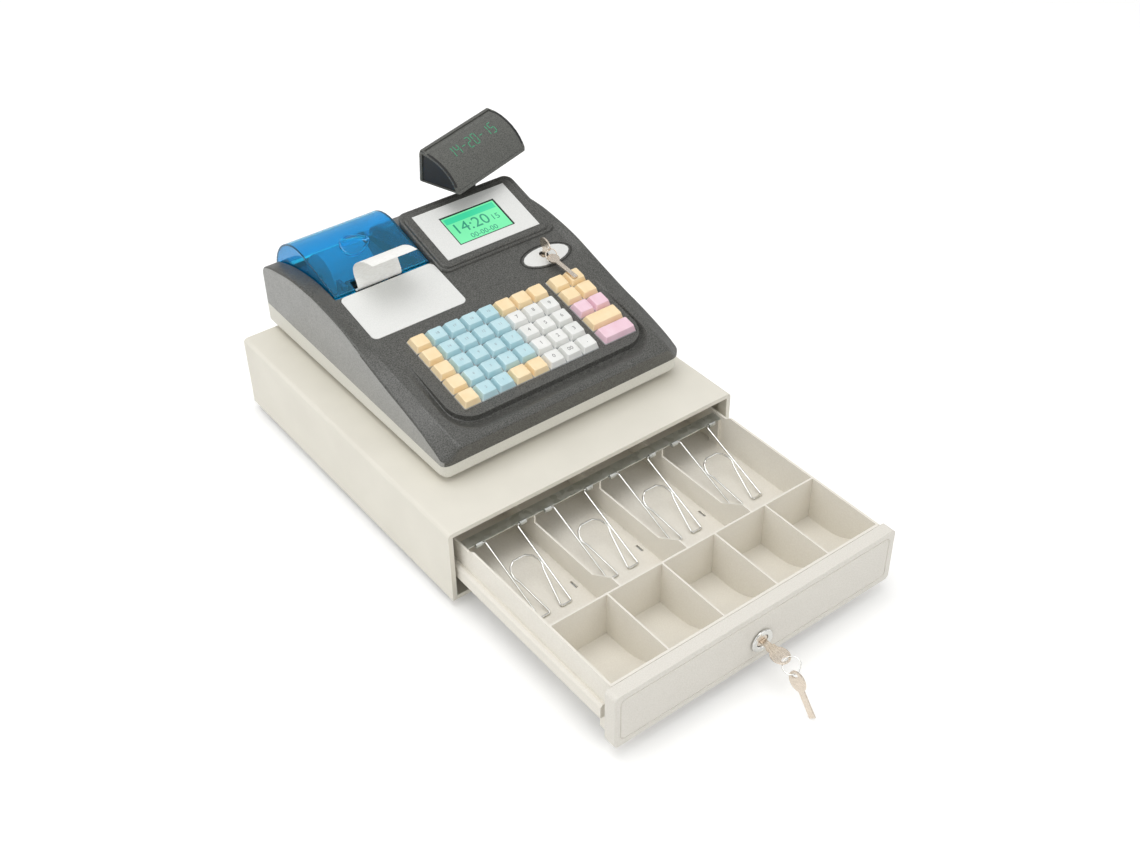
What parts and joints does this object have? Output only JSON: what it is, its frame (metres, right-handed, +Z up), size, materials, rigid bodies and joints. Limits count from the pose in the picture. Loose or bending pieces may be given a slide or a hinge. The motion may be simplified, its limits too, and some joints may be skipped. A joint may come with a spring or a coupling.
{
  "type": "ticket register",
  "caption": "Counter register with tilted keyboard, receipt printer and swivel display, standing on a steel cabinet with a sliding cash drawer for coins and notes",
  "frame": {"origin": "On the floor under the middle of the whole object's box, with the drawer open as stored", "axes": "+X to the right as the clerk sees it, +Y from the drawer front to the rear, +Z up"},
  "size_m": [0.333, 0.6874, 0.2565],
  "materials": {
    "cabinet_paint": "satin warm off-white powder coat",
    "front_plastic": "satin moulded off-white plastic, fine grain",
    "tray_plastic": "matte moulded light grey plastic",
    "case_plastic": "matte charcoal moulded plastic, fine grain",
    "base_plastic": "satin off-white moulded plastic",
    "foot_rubber": "matte black rubber",
    "zinc_steel": "galvanised sheet steel",
    "chrome_wire": "bright chrome plating",
    "nickel_steel": "nickel-plated steel, lightly worn",
    "silver_plate": "fine satin silver",
    "lcd_glass": "lit mint green screen under clear film",
    "cover_plastic": "clear tinted blue plastic",
    "paper": "plain white thermal paper",
    "black_plastic": "matte black plastic",
    "lens_plastic": "dark smoked plastic",
    "board": "green circuit board",
    "beige_cap": "satin beige insert under a clear cap",
    "blue_cap": "satin light blue insert under a clear cap",
    "white_cap": "satin white insert under a clear cap",
    "pink_cap": "satin pink insert under a clear cap"
  },
  "bodies": {
    "cabinet": {"cabinet_shell": "cabinet_paint", "cabinet_base": "cabinet_paint", "foot_front_left": "foot_rubber", "foot_front_right": "foot_rubber", "foot_rear_left": "foot_rubber", "foot_rear_right": "foot_rubber", "drawer_rail_left": "zinc_steel", "drawer_rail_right": "zinc_steel", "latch_solenoid": "zinc_steel", "register_base": "base_plastic", "register_top": "case_plastic", "main_board": "board", "lcd_plate": "silver_plate", "lcd_screen": "lcd_glass", "mode_plate": "silver_plate", "printer_plate": "silver_plate", "printer_frame": "black_plastic", "receipt_paper": "paper", "display_neck": "case_plastic"},
    "drawer": {"drawer_body": "tray_plastic", "drawer_front": "front_plastic", "clip_bracket": "zinc_steel", "drawer_lock_barrel": "chrome_wire"},
    "bill_clip_1": {"bill_clip_1": "chrome_wire"},
    "bill_clip_2": {"bill_clip_2": "chrome_wire"},
    "bill_clip_3": {"bill_clip_3": "chrome_wire"},
    "bill_clip_4": {"bill_clip_4": "chrome_wire"},
    "drawer_lock": {"drawer_lock_plug": "nickel_steel", "drawer_key": "nickel_steel"},
    "drawer_key_ring": {"drawer_key_ring": "chrome_wire"},
    "drawer_spare_key": {"drawer_spare_key": "nickel_steel"},
    "latch_hook": {"latch_hook": "zinc_steel"},
    "printer_cover": {"printer_cover": "cover_plastic"},
    "paper_roll": {"paper_roll": "paper"},
    "platen_roller": {"platen_roller": "foot_rubber"},
    "mode_lock": {"mode_lock_barrel": "black_plastic", "mode_key": "nickel_steel"},
    "mode_key_ring": {"mode_key_ring": "nickel_steel"},
    "display": {"display_housing": "case_plastic", "display_lens": "lens_plastic"},
    "function_keys": {"function_keys": "beige_cap"},
    "department_keys": {"department_keys": "blue_cap"},
    "tax_keys": {"tax_keys": "beige_cap"},
    "clerk_keys": {"clerk_keys": "beige_cap"},
    "side_beige_keys": {"side_beige_keys": "beige_cap"},
    "side_pink_keys": {"side_pink_keys": "pink_cap"},
    "total_key": {"total_key": "beige_cap"},
    "cash_key": {"cash_key": "pink_cap"},
    "key_7": {"key_7": "white_cap"},
    "key_8": {"key_8": "white_cap"},
    "key_9": {"key_9": "white_cap"},
    "key_4": {"key_4": "white_cap"},
    "key_5": {"key_5": "white_cap"},
    "key_6": {"key_6": "white_cap"},
    "key_1": {"key_1": "white_cap"},
    "key_2": {"key_2": "white_cap"},
    "key_3": {"key_3": "white_cap"},
    "key_0": {"key_0": "white_cap"},
    "key_00": {"key_00": "white_cap"},
    "key_point": {"key_point": "white_cap"}
  },
  "joints": [
    {"name": "drawer_slide", "type": "slide", "parent": "cabinet", "child": "drawer", "axis": [0, -1, 0], "range_m": [-0.2247, 0]},
    {"name": "bill_clip_1_lift", "type": "hinge", "parent": "drawer", "child": "bill_clip_1", "pos_m": [-0.11422, -0.0523, 0.0665], "axis": [-1, 0, 0], "range_deg": [0, 80]},
    {"name": "bill_clip_2_lift", "type": "hinge", "parent": "drawer", "child": "bill_clip_2", "pos_m": [-0.03808, -0.0523, 0.0665], "axis": [-1, 0, 0], "range_deg": [0, 80]},
    {"name": "bill_clip_3_lift", "type": "hinge", "parent": "drawer", "child": "bill_clip_3", "pos_m": [0.03808, -0.0523, 0.0665], "axis": [-1, 0, 0], "range_deg": [0, 80]},
    {"name": "bill_clip_4_lift", "type": "hinge", "parent": "drawer", "child": "bill_clip_4", "pos_m": [0.11422, -0.0523, 0.0665], "axis": [-1, 0, 0], "range_deg": [0, 80]},
    {"name": "drawer_lock_turn", "type": "hinge", "parent": "drawer", "child": "drawer_lock", "pos_m": [0, -0.272, 0.038], "axis": [0, -1, 0], "range_deg": [-90, 0]},
    {"name": "drawer_ring_swing", "type": "hinge", "parent": "drawer_lock", "child": "drawer_key_ring", "pos_m": [0, -0.3011, 0.038], "axis": [-0.8829, 0, -0.4695], "range_deg": [0, 15]},
    {"name": "drawer_spare_swing", "type": "hinge", "parent": "drawer_key_ring", "child": "drawer_spare_key", "pos_m": [-0.00256, -0.31588, 0.03429], "axis": [-0.7973, 0.4951, -0.3451], "range_deg": [0, 30]},
    {"name": "latch_hook_turn", "type": "hinge", "parent": "cabinet", "child": "latch_hook", "pos_m": [0, 0.3145, 0.0445], "axis": [-1, 0, 0], "range_deg": [-18, 0], "stiffness_Nm_per_rad": 0.02},
    {"name": "printer_cover_lift", "type": "hinge", "parent": "cabinet", "child": "printer_cover", "pos_m": [0, 0.3357, 0.1549], "axis": [-1, 0, 0], "range_deg": [0, 80]},
    {"name": "paper_roll_spin", "type": "hinge", "parent": "cabinet", "child": "paper_roll", "pos_m": [0, 0.2927, 0.1489], "axis": [1, 0, 0], "continuous": true},
    {"name": "platen_roller_spin", "type": "hinge", "parent": "cabinet", "child": "platen_roller", "pos_m": [0, 0.2397, 0.1679], "axis": [1, 0, 0], "continuous": true},
    {"name": "mode_lock_turn", "type": "hinge", "parent": "cabinet", "child": "mode_lock", "pos_m": [0.10315, 0.1714, 0.16513], "axis": [0, -0.2164, 0.9763], "range_deg": [-45, 45]},
    {"name": "mode_ring_swing", "type": "hinge", "parent": "mode_lock", "child": "mode_key_ring", "pos_m": [0.10315, 0.16216, 0.17602], "axis": [-1, 0, 0], "range_deg": [0, 35]},
    {"name": "display_swivel", "type": "hinge", "parent": "cabinet", "child": "display", "pos_m": [0.09335, 0.2961, 0.228], "axis": [0, 0, 1], "range_deg": [-108, 162]},
    {"name": "function_keys_press", "type": "slide", "parent": "cabinet", "child": "function_keys", "axis": [0, 0.2164, -0.9763], "range_m": [0, 0.003], "stiffness_N_per_m": 1000},
    {"name": "department_keys_press", "type": "slide", "parent": "cabinet", "child": "department_keys", "axis": [0, 0.2164, -0.9763], "range_m": [0, 0.003], "stiffness_N_per_m": 3600},
    {"name": "tax_keys_press", "type": "slide", "parent": "cabinet", "child": "tax_keys", "axis": [0, 0.2164, -0.9763], "range_m": [0, 0.003], "stiffness_N_per_m": 600},
    {"name": "clerk_keys_press", "type": "slide", "parent": "cabinet", "child": "clerk_keys", "axis": [0, 0.2164, -0.9763], "range_m": [0, 0.003], "stiffness_N_per_m": 400},
    {"name": "side_beige_keys_press", "type": "slide", "parent": "cabinet", "child": "side_beige_keys", "axis": [0, 0.2164, -0.9763], "range_m": [0, 0.003], "stiffness_N_per_m": 800},
    {"name": "side_pink_keys_press", "type": "slide", "parent": "cabinet", "child": "side_pink_keys", "axis": [0, 0.2164, -0.9763], "range_m": [0, 0.003], "stiffness_N_per_m": 400},
    {"name": "total_key_press", "type": "slide", "parent": "cabinet", "child": "total_key", "axis": [0, 0.2164, -0.9763], "range_m": [0, 0.003], "stiffness_N_per_m": 200},
    {"name": "cash_key_press", "type": "slide", "parent": "cabinet", "child": "cash_key", "axis": [0, 0.2164, -0.9763], "range_m": [0, 0.003], "stiffness_N_per_m": 200},
    {"name": "key_7_press", "type": "slide", "parent": "cabinet", "child": "key_7", "axis": [0, 0.2164, -0.9763], "range_m": [0, 0.003], "stiffness_N_per_m": 200},
    {"name": "key_8_press", "type": "slide", "parent": "cabinet", "child": "key_8", "axis": [0, 0.2164, -0.9763], "range_m": [0, 0.003], "stiffness_N_per_m": 200},
    {"name": "key_9_press", "type": "slide", "parent": "cabinet", "child": "key_9", "axis": [0, 0.2164, -0.9763], "range_m": [0, 0.003], "stiffness_N_per_m": 200},
    {"name": "key_4_press", "type": "slide", "parent": "cabinet", "child": "key_4", "axis": [0, 0.2164, -0.9763], "range_m": [0, 0.003], "stiffness_N_per_m": 200},
    {"name": "key_5_press", "type": "slide", "parent": "cabinet", "child": "key_5", "axis": [0, 0.2164, -0.9763], "range_m": [0, 0.003], "stiffness_N_per_m": 200},
    {"name": "key_6_press", "type": "slide", "parent": "cabinet", "child": "key_6", "axis": [0, 0.2164, -0.9763], "range_m": [0, 0.003], "stiffness_N_per_m": 200},
    {"name": "key_1_press", "type": "slide", "parent": "cabinet", "child": "key_1", "axis": [0, 0.2164, -0.9763], "range_m": [0, 0.003], "stiffness_N_per_m": 200},
    {"name": "key_2_press", "type": "slide", "parent": "cabinet", "child": "key_2", "axis": [0, 0.2164, -0.9763], "range_m": [0, 0.003], "stiffness_N_per_m": 200},
    {"name": "key_3_press", "type": "slide", "parent": "cabinet", "child": "key_3", "axis": [0, 0.2164, -0.9763], "range_m": [0, 0.003], "stiffness_N_per_m": 200},
    {"name": "key_0_press", "type": "slide", "parent": "cabinet", "child": "key_0", "axis": [0, 0.2164, -0.9763], "range_m": [0, 0.003], "stiffness_N_per_m": 200},
    {"name": "key_00_press", "type": "slide", "parent": "cabinet", "child": "key_00", "axis": [0, 0.2164, -0.9763], "range_m": [0, 0.003], "stiffness_N_per_m": 200},
    {"name": "key_point_press", "type": "slide", "parent": "cabinet", "child": "key_point", "axis": [0, 0.2164, -0.9763], "range_m": [0, 0.003], "stiffness_N_per_m": 200}
  ],
  "couplings": [
    {"joint": "platen_roller_spin", "follows": "paper_roll_spin", "ratio": -5.0909}
  ]
}
